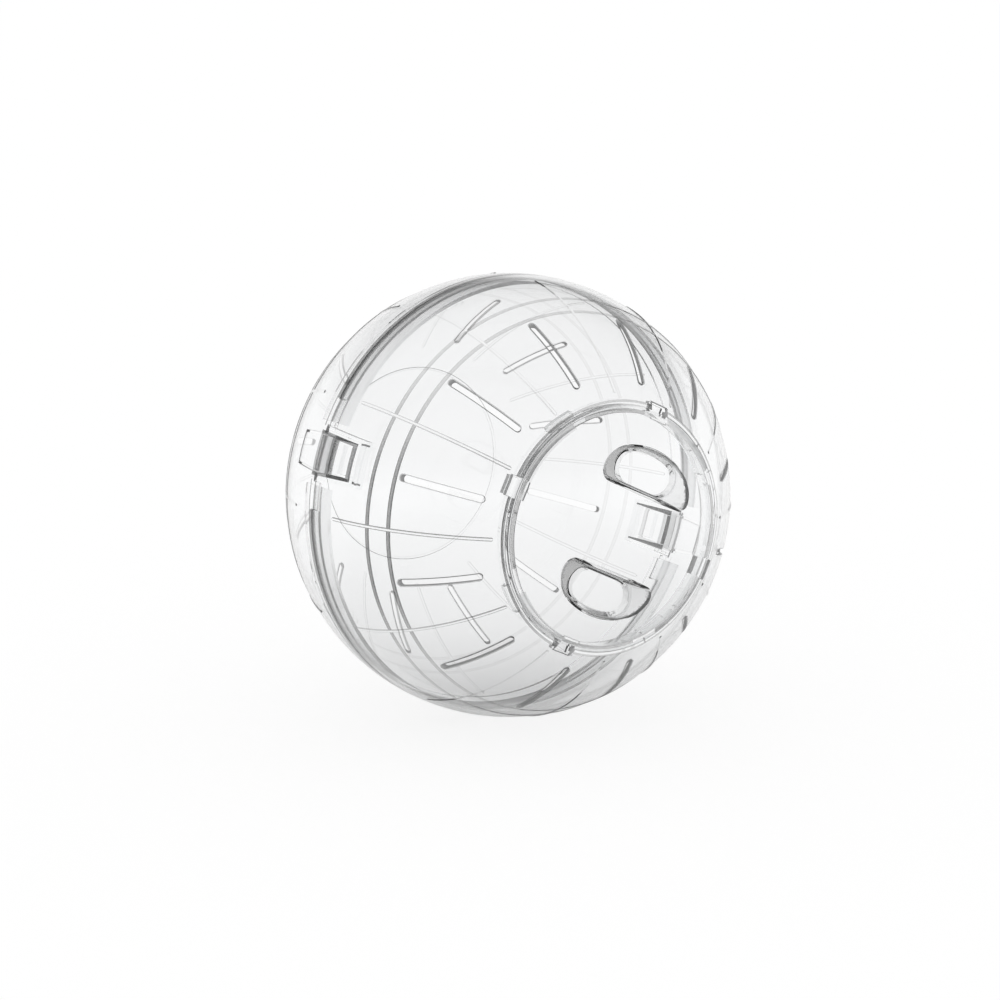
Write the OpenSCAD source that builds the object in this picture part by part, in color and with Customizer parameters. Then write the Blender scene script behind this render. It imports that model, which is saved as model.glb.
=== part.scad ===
// Clear exercise ball for a small pet: two vented half shells, a turn-lock door and two snap tongues.
// The ball's centre is the origin, the door faces -Y and +Z is up.

/* [Ball] */
// Outside diameter of the ball
ball_d = 180; // [150:1:260]
// Wall of the moulded shells
wall = 1.5; // [1.2:0.1:2.2]
// How far the latches stand above the horizontal through the centre, degrees
latch_turn = 17; // [0:1:45]

/* [Vents and ribs] */
// Number of vent slots in each half, a multiple of two
vents = 12; // [8:2:14]
// Width of a vent slot
vent_w = 2.6; // [1.5:0.1:4]
// Wall between the door opening and a vent slot
vent_land = 10.6; // [8:0.1:14]
// Distance from a vent slot to the middle of the hoop next to it
vent_hoop_land = 2.0; // [1.5:0.1:6]
// Width of a meridian rib
rib_w = 1.0; // [0.6:0.1:1.8]
// Height of a rib above the shell
rib_h = 0.5; // [0.3:0.1:0.9]
// Distance from the door opening to a rib
rib_land = 5.3; // [4.2:0.1:9]
// Distance from a rib to the seam
rib_seam_land = 14.9; // [12:0.1:22]
// Width of the two hoops that run round each half
hoop_w = 1.8; // [1.2:0.1:2.4]
// Height of the hoops above the shell
hoop_h = 0.4; // [0.2:0.05:0.45]
// Polar angle of the hoop next to the seam, degrees
hoop_seam_polar = 68.3; // [67.5:0.1:69]
// Polar angle of the hoop next to the vents, degrees
hoop_vent_polar = 62.0; // [62:0.1:63]
// Radius of the thin hoop round the closed pole
pole_hoop = 42.3; // [38:0.1:46]
// Width of the thin pole hoop
pole_hoop_w = 1.2; // [0.8:0.1:1.8]
// Height of the thin pole hoop above the shell
pole_hoop_h = 0.25; // [0.15:0.05:0.35]

/* [Door] */
// Diameter of the door's domed face
door_d = 95.1; // [90:0.1:96]
// Gap between the door's edge and the shell
door_gap = 0.3; // [0.2:0.05:0.5]
// Wall of the door's skirt
skirt_t = 1.4; // [1:0.1:1.8]
// How far the door's edge reaches past the skirt
door_lip = 1.25; // [1:0.05:1.6]
// Width of the collar round the door opening
collar_w = 2.9; // [2.4:0.1:3.2]
// Height of the collar under the door's edge
collar_h = 2.6; // [2:0.1:3]
// Number of turn-lock lugs
lugs = 4; // [3:1:4]
// Width of a lug along the rim
lug_w = 7.4; // [5:0.1:9]
// Reach of a lug past the skirt
lug_reach = 4.0; // [3.4:0.1:4.4]
// Thickness of a lug
lug_t = 2.0; // [1.5:0.1:2.4]
// Gap round a lug in its notch
notch_gap = 0.4; // [0.3:0.05:0.8]
// Turn of the lugs from the latch meridian, degrees
lug_turn = 8.75; // [0:0.25:15]
// Turn that locks the door, degrees
lock_turn = 25; // [15:1:30]
// Length of each stop block along the rim, degrees
stop_turn = 14; // [8:1:16]

/* [Finger pockets] */
// Radius of a pocket's round side
pocket_r = 33.3; // [30:0.1:36]
// Half of the grip bar's width between the two pockets
grip_half = 17.3; // [12:0.1:20]
// Radius of a pocket's corners
pocket_corner = 5; // [3:0.1:6]
// Depth of the pocket floors below the top of the dome
pocket_depth = 9; // [8:0.1:11]
// How far a pocket's round side leans in from its rim to its floor
pocket_lean = 3.2; // [1:0.1:4]

/* [Latches] */
// Length of a tongue's head past the seam
head_l = 24.4; // [22:0.1:27]
// Width of the head at the seam
head_w = 18; // [16:0.1:20]
// Width of the head at its tip
head_tip_w = 15; // [14:0.1:17]
// Height of the head's outer face above the shell
head_rise = 1.5; // [1:0.1:2]
// Thickness of the head
head_t = 2.2; // [1.6:0.1:2.4]
// Length of the strap behind the seam
strap_l = 17.5; // [14:0.1:22]
// Width of the strap at the seam
strap_w = 14; // [12:0.1:14.5]
// Width of the strap at its root
strap_root_w = 11.6; // [10:0.1:12]
// Width of the relief slot on each side of the strap
relief_w = 1.0; // [0.8:0.1:1.4]
// Distance from the seam to the window in the head
window_start = 11.9; // [10:0.1:13]
// Width of the side bars and the end bar round the window
window_bar = 2.2; // [1.8:0.1:2.6]
// Gap round the head in its recess
head_gap = 0.5; // [0.4:0.1:0.8]
// Gap between the strap's root and the shell
root_gap = 0.3; // [0.2:0.05:0.5]
// Thickness of the recess's floor and sides
recess_t = 1.2; // [1:0.1:1.5]
// Room under the head for it to flex
flex_room = 2.3; // [1.8:0.1:2.6]
// Length of the catch along the head
catch_l = 7.3; // [5:0.1:8]
// Gap between the catch and the window's end bar
catch_gap = 0.4; // [0.3:0.05:0.6]

/* [Seam] */
// Depth of the locating tabs past the seam
tab_l = 4.9; // [3:0.1:6]
// Width of a locating tab
tab_w = 10.6; // [8:0.1:12]
// Gap between a tab and its notch
tab_gap = 0.2; // [0.15:0.05:0.4]
// Least wall between a tab's notch and the latch recess
tab_wall = 0.4; // [0.3:0.1:2]
// Length of the locating lip inside the other half
lip_l = 10.5; // [8:0.1:12]
// Wall of the locating lip
lip_t = 1.3; // [1:0.1:1.6]
// Gap between the lip and the shell round it
lip_gap = 0.25; // [0.2:0.05:0.4]

/* [Hidden] */
$fn = 128;
clear_plastic = [0.90, 0.92, 0.94];
ball_r = ball_d / 2;
in_r = ball_r - wall;
over = 2;                                  // overrun of every cut
weld = 0.4;                                // overlap of pieces moulded together
reach = ball_r + 3 * over;                 // past the outside of the ball
pitch = 360 / vents;
// Door rim, from the outside in
door_r = door_d / 2;
hole_r = door_r + door_gap;
skirt_r = door_r - door_lip;
collar_in = skirt_r + door_gap;
collar_r = collar_in + collar_w;
edge_z = sqrt(pow(in_r, 2) - pow(door_r, 2));     // underside of the door's edge
collar_top = edge_z - door_gap;
collar_z = collar_top - collar_h;
lug_top = collar_z - door_gap;
lug_z = lug_top - lug_t;                          // underside of the lugs and of the skirt
lug_r = skirt_r + lug_reach;
lug_angle = lug_w / skirt_r * 180 / PI;
floor_z = ball_r - pocket_depth;
// Polar angles of the ends of the slots and ribs
hole_polar = asin(hole_r / ball_r);
vent_in = hole_polar + arc_angle(vent_land);
vent_out = hoop_vent_polar - arc_angle(vent_hoop_land);
rib_start = hole_polar + arc_angle(rib_land);
rib_end = 90 - arc_angle(rib_seam_land);
rim_z = sqrt(pow(ball_r, 2) - pow(pocket_r, 2));  // height of a pocket's rim on its round side
lean = pocket_lean / (rim_z - floor_z);
// Latch, radii of its faces
head_out = ball_r + head_rise;
head_in = head_out - head_t;
floor_gap = head_in - flex_room;                  // top of the recess floor
recess_in = floor_gap - recess_t;
window_end = head_l - window_bar;
catch_start = window_end - catch_gap - catch_l;
catch_end = window_end - catch_gap;
catch_w = head_tip_w - 2 * window_bar - 2 * head_gap;
tab_start = head_w / 2 + head_gap + recess_t + tab_gap + tab_wall;
lip_r = in_r - lip_gap;
lip_root = tab_l + over;
lip_cut = tab_start + lip_t;

// Angle of a length along the outside of the ball
function arc_angle(length) = length / ball_r * 180 / PI;

// Part of the plane between two polar angles, as a wedge from the origin
module wedge(from, to) {
    polygon([[0, 0], for (a = [from, (from + to) / 2, to]) 2 * reach * [sin(a), cos(a)]]);
}

// A ring between two radii in the plane of a half section, kept to x above low and y above base
module ring_section(outer, inner, low, base) {
    intersection() {
        difference() {
            circle(r = outer);
            circle(r = inner);
        }
        translate([low, base]) square(reach);
    }
}

// The low domed section of a hoop that stands on the shell at a polar angle
module hoop_section(polar, width, height) {
    r = (pow(width / 2, 2) + pow(height, 2)) / (2 * height);
    difference() {
        translate((ball_r + height - r) * [sin(polar), cos(polar)]) circle(r = r, $fn = 32);
        circle(r = ball_r - weld);
    }
}

// Shape that narrows evenly along Z, as seen along X, cut right through one side of the shell
module taper(z0, z1, w0, w1) {
    rotate([90, 0, 90]) linear_extrude(reach)
        polygon([[-w0 / 2, z0], [w0 / 2, z0], [w1 / 2, z1], [-w1 / 2, z1]]);
}

// The part of a child that lies between two spheres
module between(outer, inner) {
    difference() {
        intersection() {
            sphere(r = outer);
            children();
        }
        sphere(r = inner);
    }
}

// Slot with round ends through the shell, on the meridian of +X
module vent() {
    vent_l = 2 * ball_r * sin((vent_out - vent_in) / 2);
    vent_low = sqrt(pow(in_r, 2) - pow(vent_l / 2, 2)) - over;
    half = vent_l / 2 - vent_w / 2;
    rotate([0, (vent_in + vent_out) / 2, 0]) translate([0, 0, vent_low]) linear_extrude(reach - vent_low) union() {
        square([2 * half, vent_w], center = true);
        for (side = [-1, 1]) translate([side * half, 0]) circle(d = vent_w, $fn = 32);
    }
}

// Thin rib on the meridian of +X
module rib() {
    rotate([90, 0, 0]) linear_extrude(rib_w, center = true) intersection() {
        difference() {
            circle(r = ball_r + rib_h);
            circle(r = ball_r - weld);
        }
        wedge(rib_start, rib_end);
    }
}

// Both sides of a shape that stands beside the latch
module both_sides() {
    children();
    mirror([0, 1, 0]) children();
}

// Block of a locating tab, or of its notch when grown by gap
module tab_block(low, high, gap) {
    both_sides() translate([0, tab_start - gap, low]) cube([reach, tab_w + 2 * gap, high - low]);
}

// Recess that takes the head of the other half's tongue, with its catch
module recess_walls() {
    grow = 2 * (head_gap + recess_t);
    between(ball_r, recess_in)
        taper(0, head_l + head_gap + recess_t, head_w + grow, head_tip_w + grow);
}

module recess_space() {
    grow = 2 * head_gap;
    between(reach, floor_gap)
        taper(-over, head_l + head_gap, head_w + grow, head_tip_w + grow);
}

module catch_wedge() {
    low = recess_in + weld;
    function on(r, z) = [sqrt(pow(r, 2) - pow(z, 2)), z];
    rotate([90, 0, 0]) linear_extrude(catch_w, center = true) polygon([
        on(low, catch_start), on(head_in, catch_start), on(head_out - weld / 2, catch_end - head_t),
        on(head_out - weld / 2, catch_end), on(low, catch_end)]);
}

// Opening for the strap of the half's own tongue, with a relief slot on each side
module strap_space() {
    between(reach, in_r - weld)
        taper(-over, strap_l + root_gap, strap_w + 2 * relief_w, strap_root_w + 2 * relief_w);
}

// One half from the seam up, as a section to turn and the features that both halves share
module half_shell() {
    difference() {
        union() {
            rotate_extrude() children();
            for (k = [0:vents - 1]) rotate([0, 0, (k + 0.5) * pitch]) rib();
            recess_walls();
            rotate([0, 0, 180]) between(ball_r, in_r) tab_block(-tab_l, weld, 0);
        }
        for (k = [0:vents - 1]) rotate([0, 0, k * pitch]) vent();
        recess_space();
        between(reach, in_r - lip_gap / 2) tab_block(-over, tab_l + tab_gap, tab_gap);
        rotate([0, 0, 180]) strap_space();
    }
    catch_wedge();
}

// Section of the shell with its two hoops, down to radius low round the axis
module shell_section(low) {
    ring_section(ball_r, in_r, low, 0);
    hoop_section(hoop_seam_polar, hoop_w, hoop_h);
    hoop_section(hoop_vent_polar, hoop_w, hoop_h);
}

module collar_section() {
    translate([collar_in, collar_z]) square([collar_w, collar_h]);
}

// A block that follows the rim from one angle to another
module rim_block(inner, outer, low, high, from, to) {
    mid = (from + to) / 2;
    translate([0, 0, low]) linear_extrude(high - low) intersection() {
        difference() {
            circle(r = outer);
            circle(r = inner);
        }
        polygon([[0, 0], for (a = [from, mid, to]) reach * [cos(a), sin(a)]]);
    }
}

// Stop blocks that end the door's turn
module stops() {
    gap_angle = notch_gap / skirt_r * 180 / PI;
    for (k = [0:lugs - 1]) {
        stop_from = k * 360 / lugs - lug_turn - lug_angle / 2 - lock_turn - gap_angle;
        rim_block(collar_in, collar_r, lug_z, collar_z + weld, stop_from - stop_turn, stop_from);
    }
}

// Notches in the opening's rim that let the door's lugs in
module notches() {
    for (k = [0:lugs - 1]) rotate([0, 0, k * 360 / lugs - lug_turn])
        translate([skirt_r - over, -lug_w / 2 - notch_gap, lug_z - over])
            cube([lug_reach + over + notch_gap, lug_w + 2 * notch_gap, reach - lug_z]);
}

// Half shell with the round opening for the door
module door_half_solid() {
    difference() {
        union() {
            half_shell() {
                shell_section(hole_r);
                collar_section();
            }
            stops();
        }
        notches();
    }
}

// Locating lip inside the seam, open where the latches lie
module lip() {
    difference() {
        rotate_extrude() {
            ring_section(lip_r, lip_r - lip_t, 0, -lip_l);
            ring_section(in_r + weld, lip_r - lip_t, 0, lip_gap);
        }
        translate([0, 0, lip_root]) cylinder(r = reach, h = reach);
        translate([-reach, -lip_cut, -reach]) cube([2 * reach, 2 * lip_cut, 2 * reach]);
        between(reach, in_r - lip_gap / 2) tab_block(-over, tab_l + tab_gap, tab_gap);
    }
}

// Half shell with the closed pole
module plain_half_solid() {
    half_shell() {
        shell_section(0);
        hoop_section(asin(pole_hoop / ball_r), pole_hoop_w, pole_hoop_h);
    }
    lip();
}

// Points of an arc about a centre, between two angles
function arc_points(centre, r, from, to, steps) =
    [for (i = [0:steps]) let (a = from + (to - from) * i / steps) centre + r * [cos(a), sin(a)]];

// Outline of a finger pocket, grown by a margin
module pocket_outline(margin) {
    corner = pocket_corner + margin;
    arc = pocket_r + margin + weld;                // past the leaning side
    cy = grip_half - margin + corner;
    cx = sqrt(pow(arc - corner, 2) - pow(cy, 2));
    meet = atan2(cy, cx);
    polygon(concat(
        arc_points([cx, cy], corner, -90, meet, 8),
        arc_points([0, 0], arc, meet, 180 - meet, 20),
        arc_points([-cx, cy], corner, 180 - meet, 270, 8)));
}

// Both pockets from height z up, grown by a margin, inside the cone of their leaning round sides
module both_pockets(z, margin) {
    function cone_r(at) = pocket_r + lean * (at - rim_z) + margin * sqrt(1 + pow(lean, 2));
    intersection() {
        for (turn = [0, 180]) rotate([0, 0, turn - lug_turn])
            translate([0, 0, z]) linear_extrude(reach - z) pocket_outline(margin);
        rotate_extrude() polygon([[0, z], [cone_r(z), z], [cone_r(reach), reach], [0, reach]]);
    }
}

// Domed door with its skirt, lugs and finger pockets
module door_solid() {
    difference() {
        union() {
            rotate_extrude() intersection() {
                union() {
                    ring_section(ball_r, in_r, 0, 0);
                    translate([skirt_r - skirt_t, lug_z]) square([skirt_t, edge_z - lug_z + wall]);
                }
                translate([0, lug_z]) square([door_r, reach]);
            }
            for (k = [0:lugs - 1]) rotate([0, 0, k * 360 / lugs - lug_turn])
                translate([skirt_r - weld, -lug_w / 2, lug_z]) cube([lug_reach + weld, lug_w, lug_t]);
            intersection() {
                sphere(r = ball_r - weld);
                both_pockets(floor_z - wall, wall);
            }
        }
        both_pockets(floor_z, 0);
    }
}

// Snap tongue, its strap behind the seam and its windowed head past it
module tongue_solid() {
    head_share = window_start / head_l;
    window_w0 = head_w + (head_tip_w - head_w) * head_share - 2 * window_bar;
    between(ball_r, in_r) taper(-strap_l, over, strap_root_w, strap_w);
    difference() {
        between(head_out, head_in) taper(root_gap, head_l, head_w, head_tip_w);
        taper(window_start, window_end, window_w0, head_tip_w - 2 * window_bar + head_gap);
    }
}

// From the working frame, with the door's axis on +Z and a latch on +X, to the ball's frame
module placed() {
    rotate([90, 0, 0]) rotate([0, 0, 180 - latch_turn]) children();
}

// The other half is the same moulding turned over
module turned_over() {
    rotate([0, 180, 0]) children();
}

module door_half() { color(clear_plastic) placed() door_half_solid(); }
module plain_half() { color(clear_plastic) placed() turned_over() plain_half_solid(); }
module door() { color(clear_plastic) placed() door_solid(); }
module latch_tongue_left() { color(clear_plastic) placed() tongue_solid(); }
module latch_tongue_right() { color(clear_plastic) placed() turned_over() tongue_solid(); }

door_half();
plain_half();
door();
latch_tongue_left();
latch_tongue_right();
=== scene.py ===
"""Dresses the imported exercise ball: two clear vented halves, a turn-lock door and two snap tongues.

Every moulding is built in millimetres in its own frame, with the door's axis on +Z and its latch recess
on +X, and is then placed in the part's frame in metres.
"""

import logging
import math
from collections.abc import Iterable
from dataclasses import dataclass, field
from enum import Enum
from operator import attrgetter

import bmesh
import bpy
import numpy as np
from mathutils import Matrix, Vector

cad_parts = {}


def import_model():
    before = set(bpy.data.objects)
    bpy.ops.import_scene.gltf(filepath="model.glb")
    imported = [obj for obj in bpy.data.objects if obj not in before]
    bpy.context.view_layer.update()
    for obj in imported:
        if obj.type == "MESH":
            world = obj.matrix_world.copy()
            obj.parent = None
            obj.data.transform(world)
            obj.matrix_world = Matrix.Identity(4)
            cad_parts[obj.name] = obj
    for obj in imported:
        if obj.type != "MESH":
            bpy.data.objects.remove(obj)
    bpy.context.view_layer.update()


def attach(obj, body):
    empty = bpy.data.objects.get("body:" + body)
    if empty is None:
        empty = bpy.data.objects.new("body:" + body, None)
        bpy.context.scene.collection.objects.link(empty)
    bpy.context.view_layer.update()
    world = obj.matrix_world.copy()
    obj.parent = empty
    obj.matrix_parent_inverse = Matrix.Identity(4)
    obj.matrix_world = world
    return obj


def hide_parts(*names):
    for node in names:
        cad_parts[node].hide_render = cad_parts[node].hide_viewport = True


LOG = logging.getLogger("exercise_ball")
MILLIMETRE = 0.001
MERGE = 1e-4
TINY = 1e-9
PATCH_GRID = 1.2
HOOP_PARTS = 4
SEAM_POLAR = 90.0
VIEWPORT_ALPHA = 0.35
ZONE = "zone"

Point = tuple[float, float, float]
Profile = list[tuple[float, float]]


class Joining(Enum):
    """How a feature meets its moulding."""

    ADD = "UNION"
    CUT = "DIFFERENCE"
    KEEP = "INTERSECT"


class Zone(Enum):
    """The surfaces of a moulding that take a finish of their own; all but the wall and the recess take
    painted shade.
    """

    WALL = 0
    EDGE = 1
    HOOP = 2
    HOOP_RIM = 3
    FRAME = 4
    POCKET_WALL = 5
    PANEL = 6
    RECESS = 7
    RIB = 8
    VENT = 9
    LIP = 10
    RECESS_SIDE = 11
    FRAME_INSIDE = 12
    POCKET_LINE = 13
    LIP_ROOT = 14
    NOTCH = 15


# Sizes of the ball, the door and the latches


def on_sphere(radius: float, away: float) -> float:
    """Returns the height on a sphere at a distance from its axis."""
    return math.sqrt(radius**2 - away**2)


def polar_at(radius: float, away: float) -> float:
    """Returns the polar angle on a sphere at a distance from its axis, in degrees."""
    return math.degrees(math.asin(away / radius))


@dataclass(frozen=True)
class Hoop:
    """A low domed bead that runs round a shell at a polar angle."""

    polar: float
    width: float
    height: float
    dark: bool = True

    @property
    def section_r(self) -> float:
        """Radius of the bead's section."""
        return ((self.width / 2) ** 2 + self.height**2) / (2 * self.height)

    def centre(self, ball_r: float) -> float:
        """Returns how far the middle of the section lies from the centre of a ball of that radius."""
        return ball_r + self.height - self.section_r

    def half_angle(self, ball_r: float) -> float:
        """Returns half of the angle that the bead takes up on a ball of that radius, in degrees."""
        c, r = self.centre(ball_r), self.section_r
        return math.degrees(math.acos((ball_r**2 + c**2 - r**2) / (2 * ball_r * c)))


@dataclass(frozen=True)
class BallSizes:
    """Sizes of the whole ball in millimetres, the same as in the part's source."""

    ball_r: float = 90.0
    wall: float = 1.5
    latch_turn: float = 17.0
    vents: int = 12
    vent_w: float = 2.6
    vent_land: float = 10.6
    vent_hoop_land: float = 2.0
    vent_slope: float = 1.5
    vent_edge: float = 0.35
    vent_step: float = 0.06
    rib_w: float = 1.5
    rib_top_w: float = 0.7
    rib_h: float = 0.35
    rib_land: float = 5.3
    rib_seam_land: float = 14.9
    seam_hoop: Hoop = Hoop(68.3, 1.8, 0.25)
    vent_hoop: Hoop = Hoop(62.0, 1.8, 0.25)
    pole_hoop_r: float = 42.3
    pole_hoop_w: float = 1.2
    pole_hoop_h: float = 0.25
    weld: float = 0.4
    over: float = 2.0
    clear: float = 6.0

    @property
    def in_r(self) -> float:
        """Inside radius of the shells."""
        return self.ball_r - self.wall

    @property
    def reach(self) -> float:
        """A radius past the outside of the ball."""
        return self.ball_r + self.clear

    @property
    def pitch(self) -> float:
        """Angle from one vent slot to the next, in degrees."""
        return 360 / self.vents

    @property
    def pole_hoop(self) -> Hoop:
        """The thin hoop round the closed pole."""
        return Hoop(polar_at(self.ball_r, self.pole_hoop_r), self.pole_hoop_w, self.pole_hoop_h, False)

    def arc_angle(self, length: float) -> float:
        """Returns the angle of a length along the outside of the ball, in degrees."""
        return math.degrees(length / self.ball_r)


@dataclass(frozen=True)
class DoorSizes:
    """Sizes of the door, its rim and its finger pockets in millimetres."""

    ball: BallSizes = BallSizes()
    door_d: float = 95.1
    gap: float = 0.3
    skirt_t: float = 1.4
    lip: float = 1.25
    collar_w: float = 2.9
    collar_h: float = 2.6
    lugs: int = 4
    lug_w: float = 7.4
    lug_reach: float = 4.0
    lug_t: float = 2.0
    notch_gap: float = 0.4
    lug_turn: float = 8.75
    lock_turn: float = 25.0
    stop_turn: float = 14.0
    pockets: int = 2
    pocket_r: float = 33.3
    grip_half: float = 17.3
    pocket_corner: float = 6.3
    pocket_depth: float = 9.0
    pocket_lean: float = 2.4
    chord_lean: float = 0.6
    corner_share: float = 0.47
    pocket_line: float = 0.35
    edge_line: float = 0.4
    pad_l: float = 0.9
    pad_t: float = 0.9
    # Width of the painted shade ring on the shell over the collar's outer wall.
    collar_shade_w: float = 0.9
    shade_from: float = 5.5
    shade_to: float = 40.0
    dome_polar: float = 60.0

    @property
    def door_r(self) -> float:
        """Radius of the door's face."""
        return self.door_d / 2

    @property
    def hole_r(self) -> float:
        """Radius of the opening in the shell."""
        return self.door_r + self.gap

    @property
    def skirt_r(self) -> float:
        """Outside radius of the door's skirt."""
        return self.door_r - self.lip

    @property
    def skirt_in(self) -> float:
        """Inside radius of the door's skirt."""
        return self.skirt_r - self.skirt_t

    @property
    def collar_in(self) -> float:
        """Inside radius of the collar."""
        return self.skirt_r + self.gap

    @property
    def collar_r(self) -> float:
        """Outside radius of the collar."""
        return self.collar_in + self.collar_w

    @property
    def collar_top(self) -> float:
        """Height of the collar's upper face, under the edge of the door."""
        return on_sphere(self.ball.in_r, self.door_r) - self.gap

    @property
    def collar_z(self) -> float:
        """Height of the collar's lower face."""
        return self.collar_top - self.collar_h

    @property
    def lug_top(self) -> float:
        """Height of the lugs' upper face."""
        return self.collar_z - self.gap

    @property
    def lug_z(self) -> float:
        """Height of the underside of the lugs and the skirt."""
        return self.lug_top - self.lug_t

    @property
    def lug_angle(self) -> float:
        """Angle that a lug takes up along the rim, in degrees."""
        return math.degrees(self.lug_w / self.skirt_r)

    @property
    def floor_z(self) -> float:
        """Height of the pocket floors."""
        return self.ball.ball_r - self.pocket_depth

    @property
    def rim_z(self) -> float:
        """Height of a pocket's rim on its round side."""
        return on_sphere(self.ball.ball_r, self.pocket_r)

    @property
    def hole_polar(self) -> float:
        """Polar angle of the opening's edge, in degrees."""
        return polar_at(self.ball.ball_r, self.hole_r)


@dataclass(frozen=True)
class LatchSizes:
    """Sizes of the snap tongues, their recesses and the seam in millimetres."""

    ball: BallSizes = BallSizes()
    head_l: float = 23.4
    head_w: float = 18.0
    head_tip_w: float = 15.0
    head_rise: float = 1.5
    head_t: float = 2.2
    strap_l: float = 17.5
    strap_w: float = 14.0
    strap_root_w: float = 11.6
    relief_w: float = 1.0
    window_start: float = 10.8
    window_bar: float = 1.5
    frame_t: float = 0.7
    panel_step: float = 0.05
    head_gap: float = 0.5
    root_gap: float = 0.3
    recess_t: float = 1.2
    bead_w: float = 2.1
    bead_t: float = 0.25
    bead_taper: float = 3.0
    bar_inset: float = 1.1
    flex_room: float = 2.3
    catch_l: float = 7.3
    catch_gap: float = 0.4
    tab_l: float = 4.9
    tab_w: float = 10.6
    tab_gap: float = 0.2
    tab_wall: float = 0.4
    lip_l: float = 10.5
    lip_t: float = 1.3
    lip_gap: float = 0.25
    lip_root: float = 4.0

    @property
    def head_out(self) -> float:
        """Radius of the head's outer face."""
        return self.ball.ball_r + self.head_rise

    @property
    def head_in(self) -> float:
        """Radius of the head's inner face."""
        return self.head_out - self.head_t

    @property
    def floor(self) -> float:
        """Radius of the recess's floor."""
        return self.head_in - self.flex_room

    @property
    def recess_in(self) -> float:
        """Inside radius of the recess's walls."""
        return self.floor - self.recess_t

    @property
    def recess_half(self) -> float:
        """Distance from the latch meridian to the outside of the recess at the seam."""
        return self.head_w / 2 + self.head_gap + self.recess_t

    @property
    def window_end(self) -> float:
        """Distance from the seam to the far end of the window."""
        return self.head_l - self.window_bar

    @property
    def tab_start(self) -> float:
        """Distance from the latch meridian to a locating tab."""
        return self.recess_half + self.tab_gap + self.tab_wall

    @property
    def lip_r(self) -> float:
        """Outside radius of the locating lip."""
        return self.ball.in_r - self.lip_gap


# Plain solids


@dataclass
class Solid:
    """A closed mesh in millimetres."""

    points: list[Point]
    faces: list[tuple[int, ...]]
    zones: list[int] | None = None

    def middle(self, face: tuple[int, ...]) -> Point:
        """Returns the mean of a face's corners."""
        return tuple(sum(self.points[i][k] for i in face) / len(face) for k in range(3))

    def turned(self, matrix: Matrix) -> "Solid":
        """Returns the solid after a turn or a shift."""
        return Solid([tuple(matrix @ Vector(p)) for p in self.points], self.faces, self.zones)

    def joined(self, other: "Solid") -> "Solid":
        """Puts another solid that doesn't touch this one beside it.

        Args:
            other: The other solid.

        Returns:
            Both as one mesh.
        """
        first = len(self.points)
        moved = [tuple(i + first for i in face) for face in other.faces]
        return Solid(self.points + other.points, self.faces + moved)

    def doubled(self) -> "Solid":
        """Returns the solid with its mirror image in the plane of the latch meridian."""
        mirrored = [(x, -y, z) for x, y, z in self.points]
        return self.joined(Solid(mirrored, [face[::-1] for face in self.faces]))

    def to_object(self, name: str, paint: "Paint | None" = None) -> bpy.types.Object:
        """Makes a Blender object of the solid, with its faces pointing outwards and sorted into zones.

        Args:
            name: Name of the object.
            paint: Zones of its faces, where the solid has none of its own.

        Returns:
            The object.
        """
        mesh = bpy.data.meshes.new(name)
        mesh.from_pydata(self.points, [], self.faces)
        zone = mesh.attributes.new(ZONE, "INT", "FACE")
        if self.zones is not None:
            zone.data.foreach_set("value", self.zones)
        shape = bmesh.new()
        shape.from_mesh(mesh)
        bmesh.ops.remove_doubles(shape, verts=shape.verts, dist=MERGE)
        bmesh.ops.recalc_face_normals(shape, faces=shape.faces)
        shape.to_mesh(mesh)
        shape.free()
        if self.zones is None and paint is not None:
            paint.apply(mesh)
        return show(name, mesh)


def show(name: str, data: bpy.types.ID) -> bpy.types.Object:
    """Makes an object of a mesh or a camera and links it to the scene.

    Args:
        name: Name of the object.
        data: The mesh or the camera.

    Returns:
        The object.
    """
    obj = bpy.data.objects.new(name, data)
    bpy.context.scene.collection.objects.link(obj)
    return obj


@dataclass(frozen=True)
class Paint:
    """The zones that a shape gives to its faces along the wall and across it.

    Faces along the wall that look inwards, and faces at the ends of a strip, can have their own.
    """

    across: Zone = Zone.WALL
    along: Zone = Zone.WALL
    inside: Zone | None = None
    ends: Zone | None = None
    limit: float = 0.8
    end_limit: float = 0.7

    def apply(self, mesh: bpy.types.Mesh) -> None:
        """Writes the zone of every face.

        Args:
            mesh: The shape's mesh, in its own frame.
        """
        values = []
        for face in mesh.polygons:
            radial = face.normal.dot(face.center.normalized())
            if abs(radial) < self.limit:
                zone = self.ends if self.ends and abs(face.normal.y) < self.end_limit else self.across
            else:
                zone = self.inside if self.inside and radial < 0 else self.along
            values.append(zone.value)
        mesh.attributes[ZONE].data.foreach_set("value", values)


def polar_arc(radius: float, start: float, end: float, step: float = 1.5) -> Profile:
    """Draws an arc round the centre in the half plane of a lathe section.

    Args:
        radius: Radius of the arc.
        start: Polar angle of the first point, in degrees.
        end: Polar angle of the last point, in degrees.
        step: Largest angle between two points, in degrees.

    Returns:
        Its points.
    """
    count = max(1, math.ceil(abs(end - start) / step))
    angles = (math.radians(start + (end - start) * i / count) for i in range(count + 1))
    return [(radius * math.sin(a), radius * math.cos(a)) for a in angles]


def hoop_arc(ball_r: float, hoop: Hoop, steps: int = 12) -> Profile:
    """Draws the arc across a hoop, from the side of the seam to the side of the pole.

    Args:
        ball_r: Outside radius of the ball.
        hoop: The hoop.
        steps: Number of steps across it.

    Returns:
        Its points.
    """
    centre, r = hoop.centre(ball_r), hoop.section_r
    spread = math.asin(min(1.0, ball_r * math.sin(math.radians(hoop.half_angle(ball_r))) / r))
    sin, cos = math.sin(math.radians(hoop.polar)), math.cos(math.radians(hoop.polar))
    points = []
    for i in range(steps + 1):
        turn = spread * (1 - 2 * i / steps)
        out, along = centre + r * math.cos(turn), r * math.sin(turn)
        points.append((out * sin + along * cos, out * cos - along * sin))
    return points


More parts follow.
